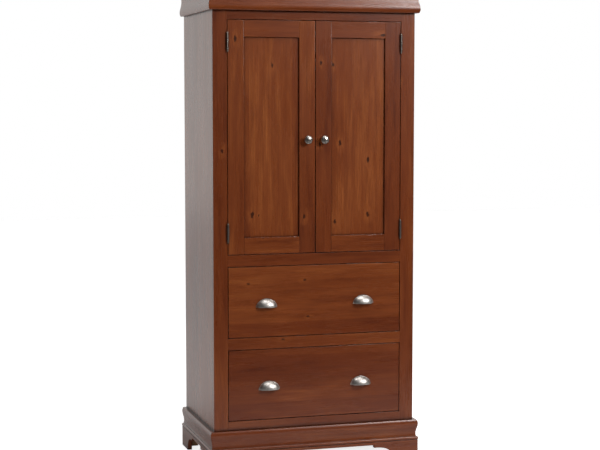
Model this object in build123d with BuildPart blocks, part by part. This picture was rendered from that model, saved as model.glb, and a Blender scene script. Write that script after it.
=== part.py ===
"""A two-door, two-drawer armoire in solid timber, built as separate boards, mouldings and hardware.

Millimetres. +Z is up, +X is to the right and the doors face -Y. The origin is on the floor, in the
middle of the whole object's box.
"""
from build123d import *
import os

os.makedirs("parts", exist_ok=True)

# ---- Driving dimensions ---------------------------------------------------------------------------

CASE_WIDTH = 914
CASE_DEPTH = 560
BOARD = 19
BACK_PLY = 6
BACK_RABBET = 10

STILE_WIDTH = 63
TOP_RAIL = 38
MIDDLE_RAIL = 50
DRAWER_RAIL = 50
BOTTOM_RAIL = 40
DOOR_OPENING = 1008
DRAWER_OPENING = 312
BASE_HEIGHT = 178
CROWN_HEIGHT = 100

REVEAL = 2.5
EASED_EDGE = 1.6
EDGE_TOLERANCE = 0.01

# Mouldings: how far each part of the profile stands out from the case, and its place along the height.
NOSE_OUT = 20
NOSE_ROUND = 5
NOSE_FROM_END = 16
COVE_OUT = 15
COVE_FROM_END = 42
WAIST_OUT = 12
WAIST_FROM_END = 58
BEAD_OUT = 22
BEAD_HEIGHT = 15
BEAD_QUIRK_OUT = 14
BASE_MOULDING_HEIGHT = 90

# Plinth with bracket feet.
PLINTH_THICK = 20
CUTOUT_HEIGHT = 75
FOOT_TOP_WIDTH = 207
FOOT_FLOOR_WIDTH = 115
FOOT_STEP = 12
CORNER_BLOCK = 45
CASE_SKIRT = 10
BACK_PLINTH_LAP = 35

# Doors.
DOOR_STILE = 72
PANEL_THICK = 9
PANEL_RECESS = 7
PANEL_GROOVE = 10
PANEL_PLAY = 1

# Hinges.
BARREL_RADIUS = 4.5
PIN_RADIUS = 2.5
PIN_CLEARANCE = 0.05
LEAF_THICK = 2
LEAF_DEPTH = 15
LEAF_LAP = 2
HINGE_LENGTH = 76
HINGE_FROM_END = 96
KNUCKLES = 5
KNUCKLE_GAP = 0.3
TIP_LENGTH = 5
TIP_INSET = 0.4
TIP_SHOULDER_SHARE = 0.75
TIP_SHOULDER_LEVEL = 0.62

# Knobs and pulls.
KNOB_RADIUS = 17.5
KNOB_EDGE_Y = -18
KNOB_EDGE_THICK = 4
KNOB_EDGE_BULGE = 0.6
KNOB_FACE_SHARE = 0.66
KNOB_FACE_DEPTH = 3.2
KNOB_STEP = 0.8
KNOB_REACH = 30
KNOB_STEM_RADIUS = 7
KNOB_STEM_Y = -8
KNOB_FOOT_FLARE = 2
KNOB_UNDERSIDE_SLOPE = (1, -0.35)
KNOB_SHOULDER_SLOPE = (-0.4, -1)
KNOB_RING_SLOPE = (-1, -0.1)
KNOB_FACE_SLOPE = (-1, -0.3)
KNOB_BELOW_MIDDLE = 10
PULL_WIDTH = 94
PULL_HEIGHT = 38
PULL_REACH = 24
PULL_WALL = 2.4
PULL_RIM = 3
PULL_RIM_THICK = 1.8
PULL_BELOW_MIDDLE = 5
UPPER_PULL_SPACING = 442
LOWER_PULL_SPACING = 420

# Drawer boxes and their slides.
DRAWER_SIDE = 12
DRAWER_BOTTOM = 6
DRAWER_GROOVE = 6
DRAWER_SIDE_HEIGHT = 240
DRAWER_BOX_LENGTH = 457
DRAWER_BOTTOM_UP = 12
DRAWER_CLEAR_BELOW = 14
SLIDE_WIDTH = 12.7
SLIDE_HEIGHT = 45
SPACER_MARGIN = 15
SLIDE_LENGTH = 450
SLIDE_STEEL = 1.3
SLIDE_BALL_GAP = 1.7
OUTER_LIP = 0.7
MID_LIP = 0.75
INNER_LIP = 0.5

# Wardrobe fittings.
SHELF_HEIGHT = 250
SHELF_PLAY = 2
SHELF_SETBACK = 25
SHELF_PIN_SETBACK = 70
PIN_INTO_BOARD = 8
PIN_OUT = 9
SHELF_PIN_RADIUS = 2.5
ROD_RADIUS = 14
ROD_BELOW_TOP = 62
ROD_CLEARANCE = 0.5
SOCKET_RADIUS = 24
SOCKET_THICK = 12
STRIKE_THICK = 1.5
STRIKE_WIDTH = 26
STRIKE_INSET = 4
STRIKE_MARGIN = 3
CATCH_DROP = 20
CATCH_HEIGHT = 25
CATCH_DEPTH = 15
CATCH_GAP = 0.4

# Anti-tip fixing holes in the hanging rail.
HANGING_RAIL_HEIGHT = 70
FIXING_RADIUS = 2.5
FIXING_SPACING = 406

# ---- Levels and places worked out from the sizes above --------------------------------------------

half_width = CASE_WIDTH / 2
inner_half = half_width - BOARD
opening_half = half_width - STILE_WIDTH
front_reach = max(BEAD_OUT, KNOB_REACH, PULL_REACH)
front_y = (front_reach - CASE_DEPTH) / 2
back_y = front_y + CASE_DEPTH
frame_back_y = front_y + BOARD
ply_front_y = back_y - BACK_PLY

lower_drawer_z = BASE_HEIGHT + BOTTOM_RAIL
drawer_rail_z = lower_drawer_z + DRAWER_OPENING
upper_drawer_z = drawer_rail_z + DRAWER_RAIL
middle_rail_z = upper_drawer_z + DRAWER_OPENING
door_z = middle_rail_z + MIDDLE_RAIL
door_top_z = door_z + DOOR_OPENING
crown_z = door_top_z + TOP_RAIL
top_z = crown_z + CROWN_HEIGHT
case_foot_z = CUTOUT_HEIGHT + CASE_SKIRT
plinth_top_z = BASE_HEIGHT - BASE_MOULDING_HEIGHT
shelf_pin_z = door_z + SHELF_HEIGHT

SIDES = {"left": -1, "right": 1}


def block(x_range, y_range, z_range, mode=Mode.ADD):
    """A square-edged block between two limits on each axis, added to the piece being made."""
    low_x, high_x = sorted(x_range)
    low_y, high_y = sorted(y_range)
    low_z, high_z = sorted(z_range)
    with Locations(((low_x + high_x) / 2, (low_y + high_y) / 2, (low_z + high_z) / 2)):
        Box(high_x - low_x, high_y - low_y, high_z - low_z, mode=mode)


def save(piece, name):
    """Label a finished piece and write it as one STEP file."""
    piece.part.label = name
    export_step(piece.part, f"parts/{name}.step")


def ease_front(piece, y):
    """Round the edges that lie in the front face at y."""
    edges = piece.edges().filter_by_position(Axis.Y, y - EDGE_TOLERANCE, y + EDGE_TOLERANCE)
    fillet(edges, radius=EASED_EDGE)


# ---- Case -----------------------------------------------------------------------------------------

for name, side in SIDES.items():
    with BuildPart() as case_side:
        block(
            (side * inner_half, side * half_width),
            (frame_back_y, back_y),
            (case_foot_z, top_z),
        )
        block(
            (side * inner_half, side * (inner_half + BACK_RABBET)),
            (ply_front_y, back_y),
            (case_foot_z, top_z),
            mode=Mode.SUBTRACT,
        )
        bore_x = side * (inner_half + PIN_INTO_BOARD / 2)
        with Locations(
            (bore_x, frame_back_y + SHELF_PIN_SETBACK, shelf_pin_z),
            (bore_x, ply_front_y - SHELF_PIN_SETBACK, shelf_pin_z),
        ):
            Cylinder(SHELF_PIN_RADIUS, PIN_INTO_BOARD, rotation=(0, 90, 0), mode=Mode.SUBTRACT)
    save(case_side, f"side_{name}")

with BuildPart() as back_panel:
    block(
        (-inner_half - BACK_RABBET, inner_half + BACK_RABBET),
        (ply_front_y, back_y),
        (case_foot_z, top_z),
    )
    with Locations((0, (ply_front_y + back_y) / 2, top_z - BOARD - HANGING_RAIL_HEIGHT / 2)):
        with GridLocations(FIXING_SPACING, 0, 2, 1):
            Cylinder(FIXING_RADIUS, BACK_PLY, rotation=(90, 0, 0), mode=Mode.SUBTRACT)
save(back_panel, "back_panel")

with BuildPart() as hanging_rail:
    block(
        (-inner_half, inner_half),
        (ply_front_y - BOARD, ply_front_y),
        (top_z - BOARD - HANGING_RAIL_HEIGHT, top_z - BOARD),
    )
    with Locations((0, ply_front_y - BOARD / 2, top_z - BOARD - HANGING_RAIL_HEIGHT / 2)):
        with GridLocations(FIXING_SPACING, 0, 2, 1):
            Cylinder(FIXING_RADIUS, BOARD, rotation=(90, 0, 0), mode=Mode.SUBTRACT)
save(hanging_rail, "hanging_rail")

panel_levels = {
    "case_top": top_z - BOARD,
    "wardrobe_floor": door_z - BOARD,
    "case_bottom": lower_drawer_z - BOARD,
}
for name, level in panel_levels.items():
    with BuildPart() as case_panel:
        block((-inner_half, inner_half), (frame_back_y, ply_front_y), (level, level + BOARD))
    save(case_panel, name)

spacer_height = SLIDE_HEIGHT + 2 * SPACER_MARGIN
slide_end_y = frame_back_y + SLIDE_LENGTH
drawer_floors = {"lower": lower_drawer_z, "upper": upper_drawer_z}
slide_middle_up = DRAWER_CLEAR_BELOW + DRAWER_SIDE_HEIGHT / 2

with BuildPart() as slide_spacers:
    for floor_z in drawer_floors.values():
        for side in SIDES.values():
            middle_z = floor_z + slide_middle_up
            block(
                (side * opening_half, side * inner_half),
                (frame_back_y, ply_front_y),
                (middle_z - spacer_height / 2, middle_z + spacer_height / 2),
            )
save(slide_spacers, "slide_spacers")

# ---- Face frame -----------------------------------------------------------------------------------

hinge_levels = (door_z + HINGE_FROM_END, door_top_z - HINGE_FROM_END)
barrel_y = front_y - BARREL_RADIUS
barrel_x = opening_half - REVEAL / 2
leaf_back_y = barrel_y + BARREL_RADIUS + LEAF_DEPTH


def leaf_mortises(side, low_x, high_x):
    """Cut the two shallow pockets that a hinge's leaves are let into."""
    for level in hinge_levels:
        block(
            (side * low_x, side * high_x),
            (front_y, leaf_back_y),
            (level - HINGE_LENGTH / 2, level + HINGE_LENGTH / 2),
            mode=Mode.SUBTRACT,
        )


for name, side in SIDES.items():
    with BuildPart() as face_stile:
        block(
            (side * opening_half, side * half_width),
            (front_y, frame_back_y),
            (case_foot_z, top_z),
        )
        leaf_mortises(side, opening_half, opening_half + LEAF_THICK)
    save(face_stile, f"face_stile_{name}")

rail_levels = {
    "face_rail_top": (door_top_z, top_z),
    "face_rail_middle": (middle_rail_z, door_z),
    "face_rail_drawer": (drawer_rail_z, upper_drawer_z),
    "face_rail_bottom": (case_foot_z, lower_drawer_z),
}
for name, (low_z, high_z) in rail_levels.items():
    with BuildPart() as face_rail:
        block((-opening_half, opening_half), (front_y, frame_back_y), (low_z, high_z))
    save(face_rail, name)

# ---- Mouldings ------------------------------------------------------------------------------------


def moulding(height, along, length_range, z_bottom, upside_down):
    """A length of the cyma and bead moulding, standing on z_bottom, with its back on the case.

    along is "front", "left" or "right". The profile has a bead at one end and a rounded nose at the
    other, with a hollow waist between them. upside_down puts the bead at the top.
    """

    def level(up):
        return z_bottom + (height - up if upside_down else up)

    bead = BEAD_HEIGHT / 2
    low, high = length_range
    if along == "front":
        plane = Plane(origin=(low, front_y, 0), x_dir=(0, -1, 0), z_dir=(1, 0, 0))
    elif along == "left":
        plane = Plane(origin=(-half_width, low, 0), x_dir=(-1, 0, 0), z_dir=(0, 1, 0))
    else:
        plane = Plane(origin=(half_width, low, 0), x_dir=(1, 0, 0), z_dir=(0, 1, 0))
    flip = 1 if plane.y_dir.Z > 0 else -1
    with BuildPart() as length:
        with BuildSketch(plane):
            with BuildLine():
                Polyline(
                    (BEAD_QUIRK_OUT, flip * level(BEAD_HEIGHT)),
                    (BEAD_OUT - bead, flip * level(BEAD_HEIGHT)),
                )
                ThreePointArc(
                    (BEAD_OUT - bead, flip * level(BEAD_HEIGHT)),
                    (BEAD_OUT, flip * level(bead)),
                    (BEAD_OUT - bead, flip * level(0)),
                )
                Polyline(
                    (BEAD_OUT - bead, flip * level(0)),
                    (0, flip * level(0)),
                    (0, flip * level(height)),
                    (NOSE_OUT - NOSE_ROUND, flip * level(height)),
                )
                Spline(
                    (NOSE_OUT - NOSE_ROUND, flip * level(height)),
                    (NOSE_OUT, flip * level(height - NOSE_FROM_END)),
                    (COVE_OUT, flip * level(height - COVE_FROM_END)),
                    (WAIST_OUT, flip * level(height - WAIST_FROM_END)),
                    (BEAD_QUIRK_OUT, flip * level(BEAD_HEIGHT)),
                )
            make_face()
        extrude(amount=high - low)
    return length


def mitre(side):
    """The plane of the mitre at a front corner, facing the side piece."""
    return Plane(origin=(side * half_width, front_y, 0), z_dir=(side, 1, 0))


moulding_rows = {
    "crown": (CROWN_HEIGHT, crown_z, True),
    "base_moulding": (BASE_MOULDING_HEIGHT, plinth_top_z, False),
}
for name, (height, z_bottom, upside_down) in moulding_rows.items():
    front_length = moulding(
        height, "front", (-half_width - BEAD_OUT, half_width + BEAD_OUT), z_bottom, upside_down
    )
    with BuildPart() as moulding_front:
        add(front_length.part)
        split(bisect_by=mitre(1), keep=Keep.BOTTOM)
        split(bisect_by=mitre(-1), keep=Keep.BOTTOM)
    save(moulding_front, f"{name}_front")
    mitred_sides = []
    for side_name, side in SIDES.items():
        plain = moulding(height, side_name, (front_y - BEAD_OUT, back_y), z_bottom, upside_down)
        with BuildPart() as mitred:
            add(plain.part)
            split(bisect_by=mitre(side), keep=Keep.TOP)
        mitred_sides.append(mitred.part)
    with BuildPart() as moulding_sides:
        add(mitred_sides)
    save(moulding_sides, f"{name}_sides")

# ---- Plinth and bracket feet ----------------------------------------------------------------------


def bracket_plinth(plane, length):
    """A plinth board, drawn from its middle, with the shaped gap between its bracket feet."""
    half = length / 2
    shoulder = half - FOOT_TOP_WIDTH
    toe = half - FOOT_FLOOR_WIDTH
    step_z = CUTOUT_HEIGHT - FOOT_STEP
    with BuildPart() as board:
        with BuildSketch(plane):
            with BuildLine():
                Polyline((-half, 0), (-half, plinth_top_z), (half, plinth_top_z), (half, 0), (toe, 0))
                Spline(
                    (toe, 0),
                    (shoulder + FOOT_STEP, step_z),
                    tangents=((0, 1), (-1, 0)),
                )
                Polyline(
                    (shoulder + FOOT_STEP, step_z),
                    (shoulder, step_z),
                    (shoulder, CUTOUT_HEIGHT),
                    (-shoulder, CUTOUT_HEIGHT),
                    (-shoulder, step_z),
                    (-shoulder - FOOT_STEP, step_z),
                )
                Spline(
                    (-shoulder - FOOT_STEP, step_z),
                    (-toe, 0),
                    tangents=((-1, 0), (0, -1)),
                )
                Line((-toe, 0), (-half, 0))
            make_face()
        extrude(amount=PLINTH_THICK)
    return board


front_board = bracket_plinth(
    Plane(origin=(0, front_y, 0), x_dir=(1, 0, 0), z_dir=(0, -1, 0)),
    CASE_WIDTH + 2 * PLINTH_THICK,
)
with BuildPart() as plinth_front:
    add(front_board.part)
    split(bisect_by=mitre(1), keep=Keep.BOTTOM)
    split(bisect_by=mitre(-1), keep=Keep.BOTTOM)
save(plinth_front, "plinth_front")

side_length = CASE_DEPTH + PLINTH_THICK
side_middle_y = back_y - side_length / 2
mitred_boards = []
for side in SIDES.values():
    outward = Plane(
        origin=(side * half_width, side_middle_y, 0), x_dir=(0, side, 0), z_dir=(side, 0, 0)
    )
    side_board = bracket_plinth(outward, side_length)
    with BuildPart() as mitred_board:
        add(side_board.part)
        split(bisect_by=mitre(side), keep=Keep.TOP)
    mitred_boards.append(mitred_board.part)
with BuildPart() as plinth_sides:
    add(mitred_boards)
save(plinth_sides, "plinth_sides")

with BuildPart() as plinth_back:
    block(
        (-half_width + CORNER_BLOCK, half_width - CORNER_BLOCK),
        (back_y - BOARD, back_y),
        (CUTOUT_HEIGHT - BACK_PLINTH_LAP, case_foot_z),
    )
save(plinth_back, "plinth_back")

with BuildPart() as corner_blocks:
    for side in SIDES.values():
        for near_y in (front_y, back_y - CORNER_BLOCK):
            block(
                (side * half_width, side * (half_width - CORNER_BLOCK)),
                (near_y, near_y + CORNER_BLOCK),
                (0, case_foot_z),
            )
save(corner_blocks, "corner_blocks")

# ---- Wardrobe fittings ----------------------------------------------------------------------------

shelf_z = shelf_pin_z + SHELF_PIN_RADIUS
with BuildPart() as shelf:
    block(
        (-inner_half + SHELF_PLAY, inner_half - SHELF_PLAY),
        (frame_back_y + SHELF_SETBACK, ply_front_y - SHELF_PLAY),
        (shelf_z, shelf_z + BOARD),
    )
save(shelf, "shelf")

with BuildPart() as shelf_pins:
    for side in SIDES.values():
        pin_x = side * (inner_half + (PIN_INTO_BOARD - PIN_OUT) / 2)
        with Locations(
            (pin_x, frame_back_y + SHELF_PIN_SETBACK, shelf_pin_z),
            (pin_x, ply_front_y - SHELF_PIN_SETBACK, shelf_pin_z),
        ):
            Cylinder(SHELF_PIN_RADIUS, PIN_INTO_BOARD + PIN_OUT, rotation=(0, 90, 0))
save(shelf_pins, "shelf_pins")

rod_y = (frame_back_y + ply_front_y) / 2
rod_z = top_z - BOARD - ROD_BELOW_TOP
with BuildPart() as clothes_rod:
    with Locations((0, rod_y, rod_z)):
        Cylinder(ROD_RADIUS, 2 * (inner_half - ROD_CLEARANCE), rotation=(0, 90, 0))
save(clothes_rod, "clothes_rod")

with BuildPart() as rod_sockets:
    for side in SIDES.values():
        with Locations((side * (inner_half - SOCKET_THICK / 2), rod_y, rod_z)):
            Cylinder(SOCKET_RADIUS, SOCKET_THICK, rotation=(0, 90, 0))
            Cylinder(
                ROD_RADIUS + ROD_CLEARANCE, SOCKET_THICK, rotation=(0, 90, 0), mode=Mode.SUBTRACT
            )
save(rod_sockets, "rod_sockets")

# ---- Hinges ---------------------------------------------------------------------------------------

knuckle_pitch = HINGE_LENGTH / KNUCKLES
bore_radius = PIN_RADIUS + PIN_CLEARANCE
knuckle_length = knuckle_pitch - KNUCKLE_GAP


def hinge_leaves(side, leaf_side, first_knuckle):
    """Two butt-hinge leaves for one door: plates with every other knuckle.

    leaf_side is 1 for the leaf on the face frame and -1 for the leaf on the door.
    """
    axis_x = side * barrel_x
    near_x = axis_x + side * leaf_side * REVEAL / 2
    far_x = near_x + side * leaf_side * LEAF_THICK
    clear_y = barrel_y + BARREL_RADIUS + KNUCKLE_GAP
    web_length = BARREL_RADIUS + LEAF_LAP
    web_from_axis = (REVEAL + LEAF_THICK) / 2
    with BuildPart() as leaves:
        for level in hinge_levels:
            bottom_z = level - HINGE_LENGTH / 2
            block((near_x, far_x), (clear_y, leaf_back_y), (bottom_z, bottom_z + HINGE_LENGTH))
            for knuckle in range(first_knuckle, KNUCKLES, 2):
                low_z = bottom_z + knuckle * knuckle_pitch + KNUCKLE_GAP / 2
                with BuildSketch(Plane(origin=(axis_x, barrel_y, low_z))):
                    Circle(BARREL_RADIUS)
                    with Locations((side * leaf_side * web_from_axis, web_length / 2)):
                        Rectangle(LEAF_THICK, web_length)
                    Circle(bore_radius, mode=Mode.SUBTRACT)
                extrude(amount=knuckle_length)
    return leaves


with BuildPart() as frame_hinge_leaves:
    for side in SIDES.values():
        add(hinge_leaves(side, 1, 0).part)
save(frame_hinge_leaves, "frame_hinge_leaves")

half_pin = HINGE_LENGTH / 2
tip_radius = BARREL_RADIUS - TIP_INSET
shoulder_radius = tip_radius * TIP_SHOULDER_SHARE
shoulder_level = half_pin + TIP_LENGTH * TIP_SHOULDER_LEVEL
with BuildPart() as hinge_pins:
    for side in SIDES.values():
        for level in hinge_levels:
            pin_plane = Plane(origin=(side * barrel_x, barrel_y, level), x_dir=(1, 0, 0), z_dir=(0, -1, 0))
            with BuildSketch(pin_plane):
                with BuildLine():
                    Polyline(
                        (0, -half_pin - TIP_LENGTH),
                        (0, half_pin + TIP_LENGTH),
                    )
                    Spline(
                        (0, half_pin + TIP_LENGTH),
                        (shoulder_radius, shoulder_level),
                        (tip_radius, half_pin),
                        tangents=((1, 0), (0, -1)),
                    )
                    Polyline(
                        (tip_radius, half_pin),
                        (PIN_RADIUS, half_pin),
                        (PIN_RADIUS, -half_pin),
                        (tip_radius, -half_pin),
                    )
                    Spline(
                        (tip_radius, -half_pin),
                        (shoulder_radius, -shoulder_level),
                        (0, -half_pin - TIP_LENGTH),
                        tangents=((0, -1), (-1, 0)),
                    )
                make_face()
            revolve(axis=Axis((side * barrel_x, barrel_y, 0), (0, 0, 1)))
save(hinge_pins, "hinge_pins")

# ---- Door catch -----------------------------------------------------------------------------------

strike_high_z = door_top_z - REVEAL - STRIKE_MARGIN
strike_low_z = door_top_z - REVEAL - CATCH_DROP + STRIKE_MARGIN
strike_half = REVEAL / 2 + STRIKE_WIDTH + STRIKE_INSET
with BuildPart() as door_catch:
    block(
        (-strike_half, strike_half),
        (frame_back_y, frame_back_y + CATCH_DEPTH),
        (door_top_z, door_top_z + CATCH_HEIGHT),
    )
    block(
        (-strike_half, strike_half),
        (frame_back_y + STRIKE_THICK + CATCH_GAP, frame_back_y + CATCH_DEPTH),
        (door_top_z - CATCH_DROP, door_top_z),
    )
save(door_catch, "door_catch")

# ---- Doors ----------------------------------------------------------------------------------------

door_low_z = door_z + REVEAL
door_high_z = door_top_z - REVEAL
panel_front_y = front_y + PANEL_RECESS
panel_back_y = panel_front_y + PANEL_THICK
hinge_edge = opening_half - REVEAL
meeting_edge = REVEAL / 2
rail_inner = meeting_edge + DOOR_STILE
rail_outer = hinge_edge - DOOR_STILE
knob_z = (door_low_z + door_high_z) / 2 - KNOB_BELOW_MIDDLE
knob_foot_radius = KNOB_STEM_RADIUS + KNOB_FOOT_FLARE
face_radius = KNOB_RADIUS * KNOB_FACE_SHARE
face_y = -KNOB_REACH + KNOB_FACE_DEPTH
held = PANEL_GROOVE - PANEL_PLAY

for name, side in SIDES.items():
    with BuildPart() as hinge_stile:
        block(
            (side * rail_outer, side * hinge_edge),
            (front_y, frame_back_y),
            (door_low_z, door_high_z),
        )
        ease_front(hinge_stile, front_y)
        block(
            (side * rail_outer, side * (rail_outer + PANEL_GROOVE)),
            (panel_front_y, panel_back_y),
            (door_low_z, door_high_z),
            mode=Mode.SUBTRACT,
        )
        leaf_mortises(side, hinge_edge - LEAF_THICK, hinge_edge)
    save(hinge_stile, f"{name}_door_hinge_stile")

    with BuildPart() as meeting_stile:
        block(
            (side * meeting_edge, side * rail_inner),
            (front_y, frame_back_y),
            (door_low_z, door_high_z),
        )
        ease_front(meeting_stile, front_y)
        block(
            (side * (rail_inner - PANEL_GROOVE), side * rail_inner),
            (panel_front_y, panel_back_y),
            (door_low_z, door_high_z),
            mode=Mode.SUBTRACT,
        )
    save(meeting_stile, f"{name}_door_meeting_stile")

    rail_rows = {
        "top_rail": (door_high_z - DOOR_STILE, door_high_z, door_high_z - DOOR_STILE, PANEL_GROOVE),
        "bottom_rail": (door_low_z, door_low_z + DOOR_STILE, door_low_z + DOOR_STILE, -PANEL_GROOVE),
    }
    for rail_name, (low_z, high_z, groove_z, groove) in rail_rows.items():
        with BuildPart() as door_rail:
            block((side * rail_inner, side * rail_outer), (front_y, frame_back_y), (low_z, high_z))
            fillet(door_rail.edges().filter_by(Axis.X).group_by(Axis.Y)[0], radius=EASED_EDGE)
            for end, inward in ((rail_inner, -1), (rail_outer, 1)):
                block(
                    (side * end, side * (end + inward * held)),
                    (panel_front_y, panel_back_y),
                    (low_z, high_z),
                )
            block(
                (side * (rail_inner - PANEL_GROOVE), side * (rail_outer + PANEL_GROOVE)),
                (panel_front_y, panel_back_y),
                (groove_z, groove_z + groove),
                mode=Mode.SUBTRACT,
            )
        save(door_rail, f"{name}_door_{rail_name}")

    with BuildPart() as door_panel:
        block(
            (side * (rail_inner - held), side * (rail_outer + held)),
            (panel_front_y, panel_back_y),
            (door_low_z + DOOR_STILE - held, door_high_z - DOOR_STILE + held),
        )
    save(door_panel, f"{name}_door_panel")

    knob_x = side * (meeting_edge + DOOR_STILE / 2)
    with BuildPart() as knob:
        knob_plane = Plane(origin=(knob_x, front_y, knob_z), x_dir=(1, 0, 0), z_dir=(0, 0, 1))
        with BuildSketch(knob_plane):
            with BuildLine():
                Polyline((0, -KNOB_REACH), (0, 0), (knob_foot_radius, 0))
                Spline(
                    (knob_foot_radius, 0),
                    (KNOB_STEM_RADIUS, KNOB_STEM_Y),
                    (KNOB_RADIUS, KNOB_EDGE_Y),
                    tangents=((0, -1), KNOB_UNDERSIDE_SLOPE),
                )
                ThreePointArc(
                    (KNOB_RADIUS, KNOB_EDGE_Y),
                    (KNOB_RADIUS + KNOB_EDGE_BULGE, KNOB_EDGE_Y - KNOB_EDGE_THICK / 2),
                    (KNOB_RADIUS, KNOB_EDGE_Y - KNOB_EDGE_THICK),
                )
                Spline(
                    (KNOB_RADIUS, KNOB_EDGE_Y - KNOB_EDGE_THICK),
                    (face_radius, face_y),
                    tangents=(KNOB_SHOULDER_SLOPE, KNOB_RING_SLOPE),
                )
                Line((face_radius, face_y), (face_radius - KNOB_STEP, face_y - KNOB_STEP))
                Spline(
                    (face_radius - KNOB_STEP, face_y - KNOB_STEP),
                    (0, -KNOB_REACH),
                    tangents=(KNOB_FACE_SLOPE, (-1, 0)),
                )
            make_face()
        revolve(axis=Axis((knob_x, front_y, knob_z), (0, 1, 0)))
    save(knob, f"{name}_door_knob")

    save(hinge_leaves(side, -1, 1), f"{name}_door_hinge_leaves")

    with BuildPart() as strike:
        block(
            (side * (meeting_edge + STRIKE_INSET), side * (meeting_edge + STRIKE_WIDTH)),
            (frame_back_y, frame_back_y + STRIKE_THICK),
            (strike_low_z, strike_high_z),
        )
    save(strike, f"{name}_door_strike")

# ---- Drawers --------------------------------------------------------------------------------------

box_half = opening_half - SLIDE_WIDTH
front_half = opening_half - REVEAL
box_back_y = frame_back_y + DRAWER_BOX_LENGTH
pull_spacings = {"lower": LOWER_PULL_SPACING, "upper": UPPER_PULL_SPACING}
mid_height = SLIDE_HEIGHT - 2 * (SLIDE_STEEL + SLIDE_BALL_GAP)
inner_height = mid_height - 2 * (SLIDE_STEEL + SLIDE_BALL_GAP)


def slide_member(middle_z, height, web, lip):
    """Left and right channels of a slide: an upright web with a lip along its top and bottom.

    web and lip give each one's two limits, counted from the spacer towards the drawer.
    """
    with BuildPart() as channels:
        for side in SIDES.values():
            for depth, low, high in (
                (web, -height / 2, height / 2),
                (lip, -height / 2, -height / 2 + SLIDE_STEEL),
                (lip, height / 2 - SLIDE_STEEL, height / 2),
            ):
                block(
                    (side * (opening_half - depth[0]), side * (opening_half - depth[1])),
                    (frame_back_y + SLIDE_STEEL, slide_end_y),
                    (middle_z + low, middle_z + high),
                )
    return channels


def cup_dome(inset):
    """The cup's dome, flat behind and below, drawn inwards by inset.

    Half an oval lies level in the mouth and turns up about a line behind the drawer front, which
    makes the dome taller than it is deep.
    """
    across = PULL_WIDTH / 2 - PULL_RIM - inset
    reach = PULL_REACH - inset
    height = PULL_HEIGHT - PULL_RIM
    turn_y = (height**2 - PULL_REACH**2) / (2 * PULL_REACH)
    with BuildPart() as dome:
        with BuildSketch(Plane.XY):
            Ellipse(across, reach)
            with Locations((0, reach / 2)):
                Rectangle(2 * across, reach, mode=Mode.SUBTRACT)
        revolve(axis=Axis((0, turn_y, 0), (-1, 0, 0)), revolution_arc=90)
        block((-across, across), (0, 2 * turn_y), (-PULL_RIM, PULL_HEIGHT), mode=Mode.SUBTRACT)
    return dome.part


with BuildPart() as cup:
    add(cup_dome(0))
    with BuildSketch(Plane(origin=(0, 0, 0), x_dir=(1, 0, 0), z_dir=(0, -1, 0))):
        Ellipse(PULL_WIDTH / 2, PULL_HEIGHT)
        with Locations((0, -PULL_HEIGHT)):
            Rectangle(2 * PULL_WIDTH, 2 * PULL_HEIGHT, mode=Mode.SUBTRACT)
    extrude(amount=PULL_RIM_THICK)
    add(cup_dome(PULL_WALL), mode=Mode.SUBTRACT)
cup_pull = cup.part

with BuildPart() as slide_outer:
    for floor_z in drawer_floors.values():
        channels = slide_member(
            floor_z + slide_middle_up, SLIDE_HEIGHT, (0, SLIDE_STEEL), (0, SLIDE_WIDTH * OUTER_LIP)
        )
        add(channels.part)
save(slide_outer, "slide_outer")

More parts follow.
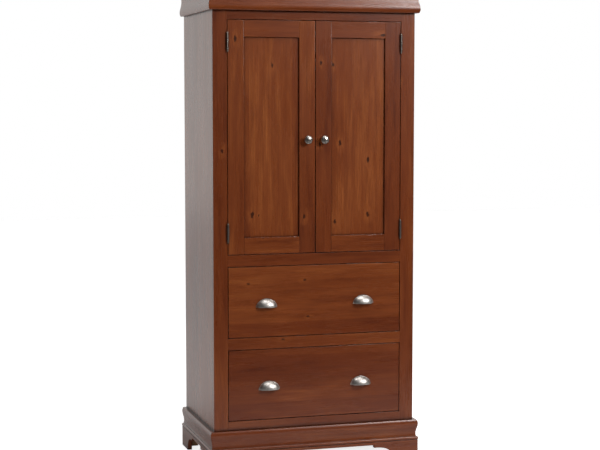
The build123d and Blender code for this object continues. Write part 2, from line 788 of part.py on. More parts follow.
for name, floor_z in drawer_floors.items():
    box_low_z = floor_z + DRAWER_CLEAR_BELOW
    box_high_z = box_low_z + DRAWER_SIDE_HEIGHT
    panel_low_z = box_low_z + DRAWER_BOTTOM_UP
    panel_high_z = panel_low_z + DRAWER_BOTTOM
    front_low_z = floor_z + REVEAL
    front_high_z = floor_z + DRAWER_OPENING - REVEAL
    groove_half = box_half - DRAWER_SIDE + DRAWER_GROOVE
    back_front_y = box_back_y - DRAWER_SIDE
    middle_z = floor_z + slide_middle_up

    with BuildPart() as drawer_front:
        block((-front_half, front_half), (front_y, frame_back_y), (front_low_z, front_high_z))
        ease_front(drawer_front, front_y)
        block(
            (-groove_half, groove_half),
            (frame_back_y - DRAWER_GROOVE, frame_back_y),
            (panel_low_z, panel_high_z),
            mode=Mode.SUBTRACT,
        )
    save(drawer_front, f"{name}_drawer_front")

    with BuildPart() as drawer_sides:
        for side in SIDES.values():
            block(
                (side * (box_half - DRAWER_SIDE), side * box_half),
                (frame_back_y, box_back_y),
                (box_low_z, box_high_z),
            )
        block(
            (-groove_half, groove_half),
            (frame_back_y, box_back_y),
            (panel_low_z, panel_high_z),
            mode=Mode.SUBTRACT,
        )
    save(drawer_sides, f"{name}_drawer_sides")

    with BuildPart() as drawer_back:
        block(
            (-box_half + DRAWER_SIDE, box_half - DRAWER_SIDE),
            (back_front_y, box_back_y),
            (panel_high_z, box_high_z),
        )
    save(drawer_back, f"{name}_drawer_back")

    with BuildPart() as drawer_bottom:
        block(
            (-groove_half, groove_half),
            (frame_back_y - DRAWER_GROOVE, box_back_y),
            (panel_low_z, panel_high_z),
        )
    save(drawer_bottom, f"{name}_drawer_bottom")

    pull_z = (front_low_z + front_high_z - PULL_HEIGHT) / 2 - PULL_BELOW_MIDDLE
    with BuildPart() as pulls:
        for side in SIDES.values():
            add(Pos(side * pull_spacings[name] / 2, front_y, pull_z) * cup_pull)
    save(pulls, f"{name}_drawer_pulls")

    mid = slide_member(
        middle_z,
        mid_height,
        (SLIDE_STEEL + SLIDE_BALL_GAP, 2 * SLIDE_STEEL + SLIDE_BALL_GAP),
        (SLIDE_STEEL + SLIDE_BALL_GAP, SLIDE_WIDTH * MID_LIP),
    )
    save(mid, f"{name}_slide_mid")
    inner = slide_member(
        middle_z,
        inner_height,
        (SLIDE_WIDTH - SLIDE_STEEL, SLIDE_WIDTH),
        (SLIDE_WIDTH * INNER_LIP, SLIDE_WIDTH),
    )
    save(inner, f"{name}_slide_inner")
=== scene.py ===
"""The armoire's looks: stained knotty alder, pewter hardware, pale inner timber and studio light.

Metres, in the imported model's frame: +Z is up and the doors face -Y.
"""
import math
import random

import bmesh
import bpy
from mathutils import Matrix, Vector


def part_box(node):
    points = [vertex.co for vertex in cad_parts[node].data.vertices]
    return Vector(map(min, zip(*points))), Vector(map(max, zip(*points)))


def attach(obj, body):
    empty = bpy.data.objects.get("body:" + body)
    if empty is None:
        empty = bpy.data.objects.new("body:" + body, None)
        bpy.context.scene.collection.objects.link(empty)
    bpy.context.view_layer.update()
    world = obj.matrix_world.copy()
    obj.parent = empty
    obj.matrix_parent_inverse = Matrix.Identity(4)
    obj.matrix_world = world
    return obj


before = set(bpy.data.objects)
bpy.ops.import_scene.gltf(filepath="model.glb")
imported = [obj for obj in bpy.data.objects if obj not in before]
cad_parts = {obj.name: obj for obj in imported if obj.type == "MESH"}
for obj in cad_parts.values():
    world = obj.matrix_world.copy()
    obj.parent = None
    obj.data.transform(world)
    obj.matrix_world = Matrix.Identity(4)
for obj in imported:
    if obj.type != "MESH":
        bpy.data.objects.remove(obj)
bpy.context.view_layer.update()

# ---- Camera, floor and world ----------------------------------------------------------------------

# The lens and its sensor are in millimetres, and the shift is a share of the picture's width.
SENSOR_WIDTH = 36.0
LENS = 88.86
CAMERA_SHIFT_UP = 1 / 300
CAMERA_AZIMUTH = math.radians(-16.74)
CAMERA_PITCH = math.radians(4.78)
CAMERA_AT = Vector((-1.918, -6.409, 1.594))

# The floor stops in front, so that the doors and drawers don't mirror it.
FLOOR_REACH = 14.0
FLOOR_FRONT = -1.7
FLOOR_CLOUDS = 1.5
FLOOR_ROUGHNESS = 0.8
FLOOR_GLOW_Y = (0.0, 1.5)
FLOOR_GLOW = (0.03, 0.50)
FLOOR_GLOW_SEEN = 0.80

# The world brightens as a direction turns to the back.
WORLD_TURN = (0.30, 0.90)
WORLD_LEVEL = (0.035, 1.06)

MM = 0.001


class Graph:
    """A short way to write a material's nodes: every call returns an output socket."""

    def __init__(self, tree):
        self.tree = tree
        self.nodes = tree.nodes
        self.links = tree.links

    def feed(self, socket, value):
        """Link an output socket into an input, or set the input to a plain value."""
        if isinstance(value, bpy.types.NodeSocket):
            self.links.new(value, socket)
        else:
            socket.default_value = value

    def math(self, operation, *values, clamp=False):
        """A Math node over the given values."""
        node = self.nodes.new("ShaderNodeMath")
        node.operation = operation
        node.use_clamp = clamp
        for socket, value in zip(node.inputs, values):
            self.feed(socket, value)
        return node.outputs[0]

    def combine(self, x, y, z):
        """A vector from three values."""
        node = self.nodes.new("ShaderNodeCombineXYZ")
        for socket, value in zip(node.inputs, (x, y, z)):
            self.feed(socket, value)
        return node.outputs[0]

    def place(self):
        """The surface point in the row frame, as its x, y and z."""
        coordinates = self.nodes.new("ShaderNodeTexCoord")
        node = self.nodes.new("ShaderNodeSeparateXYZ")
        self.links.new(coordinates.outputs["Object"], node.inputs[0])
        return dict(zip("XYZ", node.outputs))

    def noise(self, vector, scale=1.0, detail=2.0, roughness=0.5):
        """Fractal noise from 0 to 1 at a vector."""
        node = self.nodes.new("ShaderNodeTexNoise")
        self.feed(node.inputs["Vector"], vector)
        node.inputs["Scale"].default_value = scale
        node.inputs["Detail"].default_value = detail
        node.inputs["Roughness"].default_value = roughness
        return node.outputs["Fac"]

    def smooth(self, value, low, high):
        """A smooth step from 0 at low to 1 at high."""
        node = self.nodes.new("ShaderNodeMapRange")
        node.interpolation_type = "SMOOTHSTEP"
        self.feed(node.inputs["Value"], value)
        self.feed(node.inputs["From Min"], low)
        self.feed(node.inputs["From Max"], high)
        return node.outputs["Result"]

    def span(self, value, low, high):
        """A 0 to 1 value spread over low to high."""
        return self.math("MULTIPLY_ADD", value, high - low, low)

    def mix(self, share, first, second, blend="MIX"):
        """Two colours mixed by a share."""
        node = self.nodes.new("ShaderNodeMix")
        node.data_type = "RGBA"
        node.blend_type = blend
        self.feed(node.inputs["Factor"], share)
        self.feed(node.inputs["A"], first)
        self.feed(node.inputs["B"], second)
        return node.outputs["Result"]

    def bump(self, height, strength, distance, normal=None):
        """A bumped normal from a height."""
        node = self.nodes.new("ShaderNodeBump")
        node.inputs["Strength"].default_value = strength
        node.inputs["Distance"].default_value = distance
        self.feed(node.inputs["Height"], height)
        if normal is not None:
            self.links.new(normal, node.inputs["Normal"])
        return node.outputs["Normal"]


def colour(red, green, blue):
    """A linear colour with full alpha."""
    return (red, green, blue, 1.0)


def new_material(name):
    """An empty node material and its shader, as (material, graph, shader)."""
    material = bpy.data.materials.new(name)
    material.use_nodes = True
    graph = Graph(material.node_tree)
    shader = graph.nodes["Principled BSDF"]
    return material, graph, shader


# ---- Wood -----------------------------------------------------------------------------------------

# Each timber's colours, the share of knot places left empty, how far its rings show, and its gloss.
ALDER = {
    "dark": colour(0.090, 0.0165, 0.0040),
    "mid": colour(0.156, 0.0340, 0.0080),
    "light": colour(0.235, 0.0620, 0.0150),
    "knot": colour(0.018, 0.004, 0.002),
    "knots": 0.50,
    "rings": 0.68,
    "roughness": (0.21, 0.30),
    "specular": 0.43,
}
DRAWER_MAPLE = {
    "dark": colour(0.40, 0.25, 0.125),
    "mid": colour(0.56, 0.39, 0.215),
    "light": colour(0.68, 0.50, 0.30),
    "knot": colour(0.20, 0.10, 0.05),
    "knots": 0.97,
    "rings": 0.30,
    "roughness": (0.42, 0.56),
    "specular": 0.35,
}
INNER_ALDER = {
    "dark": colour(0.27, 0.14, 0.068),
    "mid": colour(0.40, 0.23, 0.12),
    "light": colour(0.52, 0.33, 0.19),
    "knot": colour(0.11, 0.05, 0.025),
    "knots": 0.7,
    "rings": 0.35,
    "roughness": (0.5, 0.64),
    "specular": 0.3,
}

# How far into the timber a board's cut starts, in metres.
CUT_FROM = (3, 40)

# Knots: places to a metre along and across the grain, then the sizes and shape of one.
KNOT_ALONG = 3.4
KNOT_ACROSS = 7.0
KNOT_SCATTER = 0.9
KNOT_SIZES = (0.0026, 0.0095)
KNOT_SQUASH = 0.55
KNOT_WOBBLE = 0.0065
KNOT_CORE = 0.6
KNOT_RIM = 0.0005
KNOT_STEP = 0.01
KNOT_SHARE = 0.88
SWIRL_START = 0.9
SWIRL_END = 4.5
# Every place's random number is under 1, so none is chosen.
NO_KNOTS = 1.5

RING_SPACING = 0.011
RING_WARP = 0.055
RING_RIPPLE = 0.004
RING_LEAN = 0.6
RING_PUSH = 3.0
RING_PUSH_EASE = 0.00006
RING_RISE = (0.25, 0.92)
RING_FADE = (0.2, 1.0)
RING_TOWARDS_MID = 0.7

BLOTCH_RANGE = (0.25, 0.75)
BLOTCH_SHARE = 0.30
FIGURE_SHARE = 0.70
DARK_TO_MID = (0.26, 0.50)
MID_TO_LIGHT = (0.48, 0.80)
STREAK_RANGE = (0.45, 0.75)
STREAK_SHARE = 0.45
FIBRE_SHADE = (0.80, 1.20)
PORE_RANGE = (0.66, 0.76)
PORE_SHARE = 0.35
FLAME_RANGE = (0.30, 0.70)

STRIP_WIDTH = 0.094
STRIP_WANDER = 0.3
STRIP_RED = (0.88, 1.18)
STRIP_GREEN = (0.82, 1.26)
BOARD_TONES = (0.88, 1.12)
BOARD_GREEN_POWER = 1.4

# Eased edges: their lighter colour is partly rubbed wear and partly a painted highlight.
EDGE_RADIUS = 0.0016
EDGE_SAMPLES = 4
EDGE_RANGE = (0.80, 0.995)
EDGE_WEAR_AND_HIGHLIGHT_SPREAD = (0.1, 0.75)
EDGE_WEAR_AND_HIGHLIGHT_SHARE = 0.6
# Darkening in corners and recesses, partly gathered stain and partly painted shade: its occlusion
# reach, samples, range and share.
CREVICE_REACH = 0.017
CREVICE_SAMPLES = 6
CREVICE_RANGE = (0.45, 0.97)
CORNER_STAIN_AND_SHADE_SHARE = 0.92

PORE_DULLNESS = 0.12
FIBRE_DULLNESS = 0.04
FIBRE_RELIEF = 0.5
RING_RELIEF = -0.25
PORE_RELIEF = -0.7
KNOT_RELIEF = -0.8
WOOD_BUMP = 0.05
WOOD_BUMP_DEPTH = 0.0003

# Noise cycles to a metre: along the grain, across the face, and into the board.
STRETCH = {
    "knot places": (KNOT_ALONG, KNOT_ACROSS, 0),
    "knot wobble": (90, 90, 90),
    "ring warp": (0.9, 3.2, 3.2),
    "ring ripple": (5, 22, 22),
    "ring fade": (1.4, 9, 9),
    "blotch": (1.3, 3.6, 3.6),
    "figure": (4.5, 44, 44),
    "fibre": (14, 520, 520),
    "streak": (1.6, 60, 60),
    "pores": (45, 900, 900),
    "strip edge": (0.4, 2, 2),
    "flame": (22, 110, 110),
    "edge wear": (30, 30, 30),
    "gloss": (3, 12, 12),
}


def wood(name, grain, across, seed, look, glued):
    """Timber with the grain running along one axis and its face spreading along another.

    Rings bend round scattered knots, the stain is blotchy, the corners darken with gathered stain and
    painted shade, and fine fibres show in the gloss. A glued board is made up of strips in slightly
    different tones.
    """
    material, graph, shader = new_material(name)
    chance = random.Random(seed)
    depth = ({"X", "Y", "Z"} - {grain, across}).pop()
    place = graph.place()
    along = graph.math("ADD", place[grain], chance.uniform(*CUT_FROM))
    side = graph.math("ADD", place[across], chance.uniform(*CUT_FROM))
    deep = graph.math("ADD", place[depth], chance.uniform(*CUT_FROM))

    def at(what):
        """The grain coordinates at the stretch that a pattern has."""
        u, v, w = STRETCH[what]
        return graph.combine(
            graph.math("MULTIPLY", along, u),
            graph.math("MULTIPLY", side, v),
            graph.math("MULTIPLY", deep, w),
        )

    # Knots: scattered points, some of them chosen, each with its own size.
    cells = graph.nodes.new("ShaderNodeTexVoronoi")
    cells.voronoi_dimensions = "2D"
    cells.inputs["Scale"].default_value = 1.0
    cells.inputs["Randomness"].default_value = KNOT_SCATTER
    graph.feed(cells.inputs["Vector"], at("knot places"))
    centre = graph.nodes.new("ShaderNodeSeparateXYZ")
    graph.links.new(cells.outputs["Position"], centre.inputs[0])
    pick = graph.nodes.new("ShaderNodeSeparateColor")
    graph.links.new(cells.outputs["Color"], pick.inputs[0])
    knot_along = graph.math("DIVIDE", centre.outputs[0], KNOT_ALONG)
    from_knot_along = graph.math("SUBTRACT", along, knot_along)
    knot_side = graph.math("DIVIDE", centre.outputs[1], KNOT_ACROSS)
    from_knot_side = graph.math("SUBTRACT", side, knot_side)
    wobble = graph.span(graph.noise(at("knot wobble"), detail=3), -KNOT_WOBBLE, KNOT_WOBBLE)
    squashed = graph.math("MULTIPLY", from_knot_along, KNOT_SQUASH)
    square = graph.math(
        "ADD",
        graph.math("POWER", graph.math("ABSOLUTE", squashed), 2),
        graph.math("POWER", graph.math("ABSOLUTE", from_knot_side), 2),
    )
    reach = graph.math("ADD", graph.math("SQRT", square), wobble)
    chosen = graph.smooth(pick.outputs[0], look["knots"], look["knots"] + KNOT_STEP)
    size = graph.math("MULTIPLY", graph.span(pick.outputs[1], *KNOT_SIZES), chosen)
    core = graph.math("MULTIPLY", size, KNOT_CORE)
    rim = graph.math("ADD", size, KNOT_RIM)
    knot = graph.math("SUBTRACT", 1, graph.smooth(reach, core, rim))
    knot = graph.math("MULTIPLY", knot, chosen)
    swirl_end = graph.math("MULTIPLY", size, SWIRL_END)
    swirl_start = graph.math("MULTIPLY", size, SWIRL_START)
    swirl = graph.math("SUBTRACT", 1, graph.smooth(reach, swirl_start, swirl_end))
    swirl = graph.math("MULTIPLY", swirl, chosen)

    # Rings: level lines of a slow warp, pushed aside round each knot.
    push_reach = graph.math("POWER", graph.math("MULTIPLY", size, RING_PUSH), 2)
    push = graph.math(
        "DIVIDE",
        graph.math("MULTIPLY", from_knot_side, push_reach),
        graph.math("ADD", square, RING_PUSH_EASE),
    )
    warp = graph.span(
        graph.noise(at("ring warp"), detail=2, roughness=0.55), -RING_WARP, RING_WARP
    )
    ripple = graph.span(graph.noise(at("ring ripple"), detail=3), -RING_RIPPLE, RING_RIPPLE)
    pushed = graph.math("SUBTRACT", side, push)
    lane = graph.math("ADD", pushed, graph.math("ADD", warp, ripple))
    lane = graph.math("ADD", lane, graph.math("MULTIPLY", deep, RING_LEAN))
    turn = graph.math("FRACT", graph.math("DIVIDE", lane, RING_SPACING))
    rise = graph.smooth(turn, *RING_RISE)
    ring = graph.math("MULTIPLY", rise, graph.math("SUBTRACT", 1, graph.smooth(turn, RING_RISE[1], 1)))
    ring = graph.math("MULTIPLY", ring, graph.span(graph.noise(at("ring fade")), *RING_FADE))

    # Stain: broad blotches, plus fine fibres and short dark pores.
    blotch = graph.noise(at("blotch"), detail=4, roughness=0.55)
    figure = graph.noise(at("figure"), detail=6, roughness=0.62)
    fibre = graph.noise(at("fibre"), detail=3, roughness=0.7)
    streak = graph.noise(at("streak"), detail=4, roughness=0.65)
    pores = graph.smooth(graph.noise(at("pores"), detail=1), *PORE_RANGE)

    tone = graph.math(
        "ADD",
        graph.math("MULTIPLY", graph.smooth(blotch, *BLOTCH_RANGE), BLOTCH_SHARE),
        graph.math("MULTIPLY", figure, FIGURE_SHARE),
    )
    base = graph.mix(graph.smooth(tone, *DARK_TO_MID), look["dark"], look["mid"])
    base = graph.mix(graph.smooth(tone, *MID_TO_LIGHT), base, look["light"])
    ring_colour = graph.mix(RING_TOWARDS_MID, look["dark"], look["mid"])
    base = graph.mix(graph.math("MULTIPLY", ring, look["rings"]), base, ring_colour)
    streaked = graph.math("MULTIPLY", graph.smooth(streak, *STREAK_RANGE), STREAK_SHARE)
    base = graph.mix(streaked, base, look["dark"])
    fibre_shade = graph.span(fibre, *FIBRE_SHADE)
    fibre_tint = graph.combine(fibre_shade, fibre_shade, fibre_shade)
    base = graph.mix(1.0, base, fibre_tint, blend="MULTIPLY")
    if glued:
        lane_edge = graph.span(graph.noise(at("strip edge")), -STRIP_WANDER, STRIP_WANDER)
        strip = graph.nodes.new("ShaderNodeTexWhiteNoise")
        strip.noise_dimensions = "1D"
        strips_across = graph.math("DIVIDE", side, STRIP_WIDTH)
        strip_number = graph.math("FLOOR", graph.math("ADD", strips_across, lane_edge))
        graph.feed(strip.inputs["W"], strip_number)
        red = graph.span(strip.outputs["Value"], *STRIP_RED)
        green = graph.span(strip.outputs["Value"], *STRIP_GREEN)
        base = graph.mix(1.0, base, graph.combine(red, green, green), blend="MULTIPLY")
    board_red = chance.uniform(*BOARD_TONES)
    board_green = board_red**BOARD_GREEN_POWER
    base = graph.mix(1.0, base, colour(board_red, board_green, board_green), blend="MULTIPLY")
    base = graph.mix(graph.math("MULTIPLY", pores, PORE_SHARE), base, look["knot"])
    flame = graph.smooth(graph.noise(at("flame"), detail=3), *FLAME_RANGE)
    base = graph.mix(graph.math("MULTIPLY", swirl, flame), base, look["light"])
    base = graph.mix(graph.math("MULTIPLY", knot, KNOT_SHARE), base, look["knot"])

    # Eased edges, lighter partly from rubbed wear and partly as a painted highlight where the edges
    # catch the light: the bevelled normal differs from the flat one only near an edge.
    rounded = graph.nodes.new("ShaderNodeBevel")
    rounded.samples = EDGE_SAMPLES
    rounded.inputs["Radius"].default_value = EDGE_RADIUS
    geometry = graph.nodes.new("ShaderNodeNewGeometry")
    alike = graph.nodes.new("ShaderNodeVectorMath")
    alike.operation = "DOT_PRODUCT"
    graph.links.new(rounded.outputs["Normal"], alike.inputs[0])
    graph.links.new(geometry.outputs["True Normal"], alike.inputs[1])
    edge = graph.math("SUBTRACT", 1, graph.smooth(alike.outputs["Value"], *EDGE_RANGE))
    wear = graph.span(graph.noise(at("edge wear"), detail=3), *EDGE_WEAR_AND_HIGHLIGHT_SPREAD)
    # The edge lightening: partly rubbed wear, partly painted highlight.
    worn = graph.math("MULTIPLY", edge, wear)
    base = graph.mix(graph.math("MULTIPLY", worn, EDGE_WEAR_AND_HIGHLIGHT_SHARE), base, look["light"])

    # Stain gathered in the corners, together with painted shade there: the colour darkens towards the
    # knot colour where the occlusion is strong.
    crevice = graph.nodes.new("ShaderNodeAmbientOcclusion")
    crevice.samples = CREVICE_SAMPLES
    crevice.inputs["Distance"].default_value = CREVICE_REACH
    corner_stain_and_shade = graph.math("SUBTRACT", 1, graph.smooth(crevice.outputs["AO"], *CREVICE_RANGE))
    base = graph.mix(graph.math("MULTIPLY", corner_stain_and_shade, CORNER_STAIN_AND_SHADE_SHARE), base, look["knot"])
    graph.feed(shader.inputs["Base Color"], base)

    # Gloss, and a shallow relief.
    gloss = graph.span(graph.noise(at("gloss"), detail=3), *look["roughness"])
    gloss = graph.math("ADD", gloss, graph.math("MULTIPLY", pores, PORE_DULLNESS))
    gloss = graph.math("ADD", gloss, graph.math("MULTIPLY", fibre, FIBRE_DULLNESS), clamp=True)
    graph.feed(shader.inputs["Roughness"], gloss)
    shader.inputs["Specular IOR Level"].default_value = look["specular"]

    height = graph.math(
        "ADD",
        graph.math("MULTIPLY", fibre, FIBRE_RELIEF),
        graph.math("MULTIPLY", ring, RING_RELIEF),
    )
    height = graph.math("ADD", height, graph.math("MULTIPLY", pores, PORE_RELIEF))
    height = graph.math("ADD", height, graph.math("MULTIPLY", knot, KNOT_RELIEF))
    normal = graph.bump(height, WOOD_BUMP, WOOD_BUMP_DEPTH, rounded.outputs["Normal"])
    graph.feed(shader.inputs["Normal"], normal)
    return material


# ---- Metal and plastic ----------------------------------------------------------------------------

METAL_CUT_FROM = (1, 20)
PATINA_SCALE = 90
PATINA_RANGE = (0.40, 0.72)
PATINA_SHARE = 0.5
PATINA_RELIEF = 0.3
SCRATCH_SCALES = (260, 900, 1500)
SCRATCH_DULLNESS = 0.05
SCRATCH_RELIEF = 0.4
METAL_EDGE_RADIUS = 0.0005
METAL_BUMP = 0.12
METAL_BUMP_DEPTH = 0.0002

PLASTIC_GRAIN_SCALE = 900
PLASTIC_FADE_SCALE = 18
PLASTIC_FADE_SHARE = 0.6
PLASTIC_FADED = (1.7, 0.01)
PLASTIC_ROUGHNESS = (0.42, 0.6)
PLASTIC_BUMP = 0.2
PLASTIC_BUMP_DEPTH = 0.0001


def metal(name, tint, shadow, roughness, seed):
    """Cast or plated metal with a faint patina, fine scratches and softly worn edges."""
    material, graph, shader = new_material(name)
    place = graph.place()
    offset = random.Random(seed).uniform(*METAL_CUT_FROM)
    spot = graph.combine(graph.math("ADD", place["X"], offset), place["Y"], place["Z"])
    patina = graph.smooth(graph.noise(spot, PATINA_SCALE, detail=4, roughness=0.6), *PATINA_RANGE)
    scratched = [
        graph.math("MULTIPLY", place[axis], scale) for axis, scale in zip("XYZ", SCRATCH_SCALES)
    ]
    scratch = graph.noise(graph.combine(*scratched), detail=2)
    shader.inputs["Metallic"].default_value = 1.0
    base = graph.mix(graph.math("MULTIPLY", patina, PATINA_SHARE), tint, shadow)
    graph.feed(shader.inputs["Base Color"], base)
    gloss = graph.math(
        "ADD", graph.span(patina, *roughness), graph.math("MULTIPLY", scratch, SCRATCH_DULLNESS)
    )
    graph.feed(shader.inputs["Roughness"], gloss)
    rounded = graph.nodes.new("ShaderNodeBevel")
    rounded.samples = EDGE_SAMPLES
    rounded.inputs["Radius"].default_value = METAL_EDGE_RADIUS
    height = graph.math(
        "ADD",
        graph.math("MULTIPLY", scratch, SCRATCH_RELIEF),
        graph.math("MULTIPLY", patina, PATINA_RELIEF),
    )
    normal = graph.bump(height, METAL_BUMP, METAL_BUMP_DEPTH, rounded.outputs["Normal"])
    graph.feed(shader.inputs["Normal"], normal)
    return material


def plastic(name, tint):
    """Moulded plastic with a fine grain and slight fading."""
    material, graph, shader = new_material(name)
    place = graph.place()
    spot = graph.combine(place["X"], place["Y"], place["Z"])
    grain = graph.noise(spot, PLASTIC_GRAIN_SCALE, detail=2)
    fade = graph.noise(spot, PLASTIC_FADE_SCALE, detail=3)
    gain, lift = PLASTIC_FADED
    pale = colour(*(min(1, part * gain + lift) for part in tint[:3]))
    base = graph.mix(graph.math("MULTIPLY", fade, PLASTIC_FADE_SHARE), tint, pale)
    graph.feed(shader.inputs["Base Color"], base)
    graph.feed(shader.inputs["Roughness"], graph.span(grain, *PLASTIC_ROUGHNESS))
    graph.feed(shader.inputs["Normal"], graph.bump(grain, PLASTIC_BUMP, PLASTIC_BUMP_DEPTH))
    return material


# ---- Dressing the CAD nodes -----------------------------------------------------------------------

PEWTER = metal(
    "pewter",
    tint=colour(0.60, 0.565, 0.53),
    shadow=colour(0.30, 0.27, 0.24),
    roughness=(0.36, 0.48),
    seed=11,
)
AGED_PEWTER = metal(
    "aged_pewter",
    tint=colour(0.42, 0.39, 0.36),
    shadow=colour(0.19, 0.17, 0.15),
    roughness=(0.30, 0.42),
    seed=14,
)
DARK_PEWTER = metal(
    "dark_pewter",
    tint=colour(0.27, 0.245, 0.22),
    shadow=colour(0.11, 0.095, 0.08),
    roughness=(0.32, 0.46),
    seed=13,
)
ZINC = metal(
    "zinc_steel",
    tint=colour(0.66, 0.66, 0.67),
    shadow=colour(0.42, 0.42, 0.42),
    roughness=(0.26, 0.42),
    seed=12,
)
CATCH = plastic("catch_plastic", colour(0.055, 0.030, 0.020))

# Each board's grain axis, then the axis that its widest face spreads along.
BOARD_GRAIN = {
    "side_left": "ZY",
    "side_right": "ZY",
    "back_panel": "ZX",
    "case_top": "XY",
    "wardrobe_floor": "XY",
    "case_bottom": "XY",
    "face_stile_left": "ZX",
    "face_stile_right": "ZX",
    "face_rail_top": "XZ",
    "face_rail_middle": "XZ",
    "face_rail_drawer": "XZ",
    "face_rail_bottom": "XZ",
    "crown_front": "XZ",
    "crown_sides": "YZ",
    "base_moulding_front": "XZ",
    "base_moulding_sides": "YZ",
    "plinth_front": "XZ",
    "plinth_sides": "YZ",
    "shelf": "XY",
}
INNER_GRAIN = {
    "hanging_rail": "XZ",
    "slide_spacers": "YZ",
    "corner_blocks": "ZX",
    "plinth_back": "XZ",
}
DOOR_GRAIN = {
    "hinge_stile": "ZX",
    "meeting_stile": "ZX",
    "top_rail": "XZ",
    "bottom_rail": "XZ",
    "panel": "ZX",
}
DRAWER_GRAIN = {"sides": "YZ", "back": "XZ", "bottom": "XY"}

for side in ("left", "right"):
    for part, grain in DOOR_GRAIN.items():
        BOARD_GRAIN[f"{side}_door_{part}"] = grain
for level in ("lower", "upper"):
    BOARD_GRAIN[f"{level}_drawer_front"] = "XZ"


def dress(node, material):
    """Give a CAD node one material in every slot."""
    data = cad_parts[node].data
    data.materials.clear()
    data.materials.append(material)
    for face in data.polygons:
        face.material_index = 0


# Boards glued up from strips.
GLUED = {
    "side_left",
    "side_right",
    "case_top",
    "wardrobe_floor",
    "case_bottom",
    "shelf",
    "left_door_panel",
    "right_door_panel",
    "lower_drawer_front",
    "upper_drawer_front",
}
MOULDINGS = {"crown_front", "crown_sides", "base_moulding_front", "base_moulding_sides"}
# These keep their edges: on a drilled board, a bevel draws dark lines across the face.
SHARP = MOULDINGS | {"side_left", "side_right", "back_panel", "hanging_rail"}

WELD_REACH = 0.02 * MM
SOFT_EDGE = 0.6 * MM
SOFT_EDGE_SEGMENTS = 2
SOFT_EDGE_ANGLE = math.radians(50)

# The first board's seed in each timber: the next boards count up from it.
ALDER_SEED = 1853
INNER_ALDER_SEED = 300
DRAWER_MAPLE_SEED = 400


def soften(node):
    """Take the sharpness off a board's sawn edges."""
    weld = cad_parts[node].modifiers.new("weld", "WELD")
    weld.merge_threshold = WELD_REACH
    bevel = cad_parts[node].modifiers.new("soft_edges", "BEVEL")
    bevel.width = SOFT_EDGE
    bevel.segments = SOFT_EDGE_SEGMENTS
    bevel.limit_method = "ANGLE"
    bevel.angle_limit = SOFT_EDGE_ANGLE
    bevel.harden_normals = True


def dress_timber(rows, look, first_seed):
    """Give each board in rows its own cut of one timber, soft edges unless it keeps them sharp, and
    no knots if it is a moulding."""
    for seed, (node, grain) in enumerate(rows.items(), first_seed):
        cut = {**look, "knots": NO_KNOTS} if node in MOULDINGS else look
        if node not in SHARP:
            soften(node)
        dress(node, wood(f"{node}_wood", grain[0], grain[1], seed, cut, node in GLUED))


dress_timber(BOARD_GRAIN, ALDER, ALDER_SEED)
dress_timber(INNER_GRAIN, INNER_ALDER, INNER_ALDER_SEED)
DRAWER_BOARDS = {
    f"{level}_drawer_{part}": grain
    for level in ("lower", "upper")
    for part, grain in DRAWER_GRAIN.items()
}
dress_timber(DRAWER_BOARDS, DRAWER_MAPLE, DRAWER_MAPLE_SEED)

for node in ("lower_drawer_pulls", "upper_drawer_pulls"):
    dress(node, PEWTER)
for node in ("left_door_knob", "right_door_knob"):
    dress(node, AGED_PEWTER)
HINGE_NODES = ("frame_hinge_leaves", "hinge_pins", "left_door_hinge_leaves", "right_door_hinge_leaves")
for node in HINGE_NODES:
    dress(node, DARK_PEWTER)
ZINC_NODES = ["shelf_pins", "rod_sockets", "clothes_rod", "slide_outer"]
ZINC_NODES += ["left_door_strike", "right_door_strike"]
for level in ("lower", "upper"):
    ZINC_NODES += [f"{level}_slide_mid", f"{level}_slide_inner"]
for node in ZINC_NODES:
    dress(node, ZINC)
dress("door_catch", CATCH)

# ---- Screws ---------------------------------------------------------------------------------------

HEAD_RINGS = 9
HEAD_TURNS = 40
CROSS_HALF_WIDTH = 0.15
CROSS_REACH = 0.56
CROSS_FLOOR = 0.35
DOME_POWER = 4
LIFT = 0.02 * MM


def screw_heads(name, body, spots, facing, head, material):
    """Cross-head screw heads as one piece, each with its own turn: domed, with a cross cut in.

    head is a head's radius and its rise above the surface.
    """
    radius, rise = head
    chance = random.Random(name)
    aim = Vector(facing).to_track_quat("Z", "Y").to_matrix().to_4x4()
    shape = bmesh.new()
    for spot in spots:
        spin = Matrix.Rotation(chance.uniform(0, math.pi), 4, "Z")
        place = Matrix.Translation(Vector(spot)) @ aim @ spin
        centre = shape.verts.new(place @ Vector((0, 0, rise * CROSS_FLOOR + LIFT)))
        inner = None
        for ring in range(1, HEAD_RINGS + 1):
            share = ring / HEAD_RINGS
            row = []
            for turn in range(HEAD_TURNS):
                angle = 2 * math.pi * turn / HEAD_TURNS
                x, y = share * math.cos(angle), share * math.sin(angle)
                near, far = sorted((abs(x), abs(y)))
                in_cross = near < CROSS_HALF_WIDTH and far < CROSS_REACH
                height = rise * (CROSS_FLOOR if in_cross else math.sqrt(1 - share**DOME_POWER))
                at = place @ Vector((x * radius, y * radius, height + LIFT))
                row.append(shape.verts.new(at))
            for turn in range(HEAD_TURNS):
                after = (turn + 1) % HEAD_TURNS
                if inner is None:
                    shape.faces.new((centre, row[turn], row[after]))
                else:
                    shape.faces.new((inner[turn], row[turn], row[after], inner[after]))
            inner = row
        shape.faces.new(reversed(inner))
    mesh = bpy.data.meshes.new(name)
    shape.to_mesh(mesh)
    shape.free()
    mesh.materials.append(material)
    piece = bpy.data.objects.new(name, mesh)
    bpy.context.collection.objects.link(piece)
    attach(piece, body)


SIDE_SIGN = {"left": -1, "right": 1}
HINGE_HALF = 38 * MM
HINGE_SCREWS = (-26 * MM, 0, 26 * MM)
BARREL_RADIUS = 4.5 * MM
LEAF_FACE_FROM_PIN = 1.25 * MM
LEAF_MIDDLE_FROM_BACK = 7.3 * MM
PULL_HALF = 47 * MM
PULL_SCREWS = (-32 * MM, 32 * MM)
PULL_SCREW_UP = 14 * MM
FLAT_HEAD = (3.0 * MM, 0.5 * MM)
ROUND_HEAD = (4.5 * MM, 1.6 * MM)
TO_THE_BACK = (0, 1, 0)


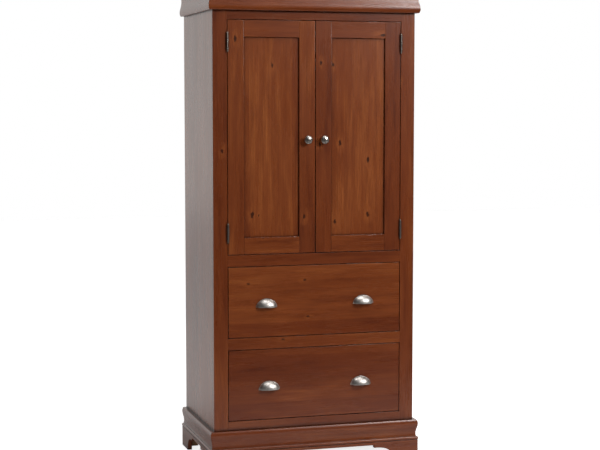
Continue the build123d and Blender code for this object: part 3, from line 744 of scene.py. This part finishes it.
def hinge_screws():
    """Three screws in every hinge leaf, on the frame and on the doors."""
    low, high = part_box("frame_hinge_leaves")
    middles = (low.z + HINGE_HALF, high.z - HINGE_HALF)
    heights = [middle + step for middle in middles for step in HINGE_SCREWS]
    pin_x = high.x - BARREL_RADIUS
    y = high.y - LEAF_MIDDLE_FROM_BACK
    for side, sign in SIDE_SIGN.items():
        frame_spots = [(sign * (pin_x + LEAF_FACE_FROM_PIN), y, z) for z in heights]
        door_spots = [(sign * (pin_x - LEAF_FACE_FROM_PIN), y, z) for z in heights]
        screw_heads(
            f"{side}_frame_hinge_screws", "case", frame_spots, (-sign, 0, 0), FLAT_HEAD, DARK_PEWTER
        )
        screw_heads(
            f"{side}_door_hinge_screws",
            f"{side}_door",
            door_spots,
            (sign, 0, 0),
            FLAT_HEAD,
            DARK_PEWTER,
        )


def handle_screws():
    """The screws that hold the knobs and pulls, on the backs of the doors and drawer fronts."""
    for side in SIDE_SIGN:
        low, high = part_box(f"{side}_door_knob")
        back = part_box(f"{side}_door_meeting_stile")[1].y
        spot = ((low.x + high.x) / 2, back, (low.z + high.z) / 2)
        screw_heads(f"{side}_knob_screw", f"{side}_door", [spot], TO_THE_BACK, ROUND_HEAD, ZINC)
    for level in ("lower", "upper"):
        low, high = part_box(f"{level}_drawer_pulls")
        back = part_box(f"{level}_drawer_front")[1].y
        pull_x = high.x - PULL_HALF
        z = low.z + PULL_SCREW_UP
        spots = [
            (sign * pull_x + step, back, z) for sign in SIDE_SIGN.values() for step in PULL_SCREWS
        ]
        screw_heads(f"{level}_pull_screws", f"{level}_drawer", spots, TO_THE_BACK, ROUND_HEAD, ZINC)


hinge_screws()
handle_screws()

# ---- Stage, lights and camera ---------------------------------------------------------------------


def pale_floor():
    """A wide pale floor, which looks brighter to the eye than the light it casts."""
    mesh = bpy.data.meshes.new("studio_floor")
    wide, front = FLOOR_REACH, FLOOR_FRONT
    corners = [(-wide, front, 0), (wide, front, 0), (wide, wide, 0), (-wide, wide, 0)]
    mesh.from_pydata(corners, [], [(0, 1, 2, 3)])
    floor = bpy.data.objects.new("studio_floor", mesh)
    bpy.context.collection.objects.link(floor)
    material, graph, shader = new_material("floor_paint")
    place = graph.place()
    spot = graph.combine(place["X"], place["Y"], place["Z"])
    cloud = graph.noise(spot, FLOOR_CLOUDS, detail=3)
    base = graph.mix(cloud, colour(0.86, 0.86, 0.86), colour(0.90, 0.90, 0.90))
    graph.feed(shader.inputs["Base Color"], base)
    shader.inputs["Roughness"].default_value = FLOOR_ROUGHNESS
    shader.inputs["Emission Color"].default_value = colour(1, 1, 1)
    path = graph.nodes.new("ShaderNodeLightPath")
    cast = graph.span(graph.smooth(place["Y"], *FLOOR_GLOW_Y), *FLOOR_GLOW)
    seen = graph.math("MULTIPLY", path.outputs["Is Camera Ray"], FLOOR_GLOW_SEEN)
    graph.feed(shader.inputs["Emission Strength"], graph.math("MAXIMUM", cast, seen))
    mesh.materials.append(material)


def studio_world():
    """White all round to the eye, but it lights the object from behind and is nearly dark in front."""
    world = bpy.data.worlds.new("studio")
    bpy.context.scene.world = world
    world.use_nodes = True
    graph = Graph(world.node_tree)
    graph.nodes.clear()
    output = graph.nodes.new("ShaderNodeOutputWorld")
    coordinates = graph.nodes.new("ShaderNodeTexCoord")
    direction = graph.nodes.new("ShaderNodeSeparateXYZ")
    graph.links.new(coordinates.outputs["Generated"], direction.inputs[0])
    behind = graph.smooth(direction.outputs[1], *WORLD_TURN)
    level = graph.span(behind, *WORLD_LEVEL)
    path = graph.nodes.new("ShaderNodeLightPath")
    seen = graph.nodes.new("ShaderNodeBackground")
    seen.inputs["Strength"].default_value = 1.0
    seen.inputs["Color"].default_value = colour(1, 1, 1)
    lit = graph.nodes.new("ShaderNodeBackground")
    lit.inputs["Color"].default_value = colour(1, 0.985, 0.965)
    graph.links.new(level, lit.inputs["Strength"])
    choose = graph.nodes.new("ShaderNodeMixShader")
    graph.links.new(path.outputs["Is Camera Ray"], choose.inputs[0])
    graph.links.new(lit.outputs[0], choose.inputs[1])
    graph.links.new(seen.outputs[0], choose.inputs[2])
    graph.links.new(choose.outputs[0], output.inputs[0])


def softbox(name, at, aim, width, height, watts, glossy):
    """A rectangular studio light at a place, turned to a point, seen in reflections if glossy."""
    data = bpy.data.lights.new(name, "AREA")
    data.shape = "RECTANGLE"
    data.size = width
    data.size_y = height
    data.energy = watts
    lamp = bpy.data.objects.new(name, data)
    lamp.location = at
    lamp.rotation_euler = (Vector(aim) - Vector(at)).to_track_quat("-Z", "Y").to_euler()
    lamp.visible_glossy = glossy
    bpy.context.collection.objects.link(lamp)


def photo_camera():
    """The camera, left of the front and a little above the doors' middle."""
    data = bpy.data.cameras.new("camera")
    data.sensor_width = SENSOR_WIDTH
    data.lens = LENS
    data.shift_y = CAMERA_SHIFT_UP
    camera = bpy.data.objects.new("camera", data)
    camera.location = CAMERA_AT
    camera.rotation_euler = (math.pi / 2 - CAMERA_PITCH, 0, CAMERA_AZIMUTH)
    bpy.context.collection.objects.link(camera)
    bpy.context.scene.camera = camera


pale_floor()
studio_world()
softbox(
    "key", at=(2.6, -3.6, 3.5), aim=(0, -0.2, 1.4), width=1.3, height=1.3, watts=176, glossy=True
)
softbox(
    "fill", at=(-2.4, -5.2, 1.8), aim=(0, 0, 1.0), width=1.6, height=2.2, watts=55, glossy=False
)
softbox("top", at=(0.3, -0.8, 4.6), aim=(0, 0, 0.6), width=2.4, height=1.6, watts=60, glossy=True)
photo_camera()
bpy.context.scene.view_settings.view_transform = "Standard"
